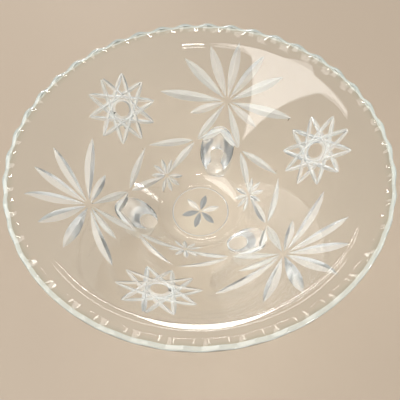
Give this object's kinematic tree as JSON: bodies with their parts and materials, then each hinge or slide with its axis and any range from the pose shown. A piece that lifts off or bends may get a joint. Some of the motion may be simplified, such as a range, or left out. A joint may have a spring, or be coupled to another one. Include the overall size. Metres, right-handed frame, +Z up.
{
  "type": "punch bowl",
  "caption": "Wide shallow punch bowl of clear pressed glass on three toes, with cut fans and stars outside and a scalloped lip.",
  "frame": {"origin": "centre of the bowl on the plane its toes stand on", "axes": "+Z up along the bowl's axis, +Y towards the back toe, +X to the right"},
  "size_m": [0.273, 0.273, 0.1035],
  "materials": {
    "clear_glass": "polished clear soda-lime glass, faintly grey-green where it is thick"
  },
  "bodies": {
    "root": {"bowl_floor": "clear_glass", "bowl_wall": "clear_glass", "scalloped_lip": "clear_glass", "toe_back": "clear_glass", "toe_left": "clear_glass", "toe_right": "clear_glass"}
  },
  "joints": []
}
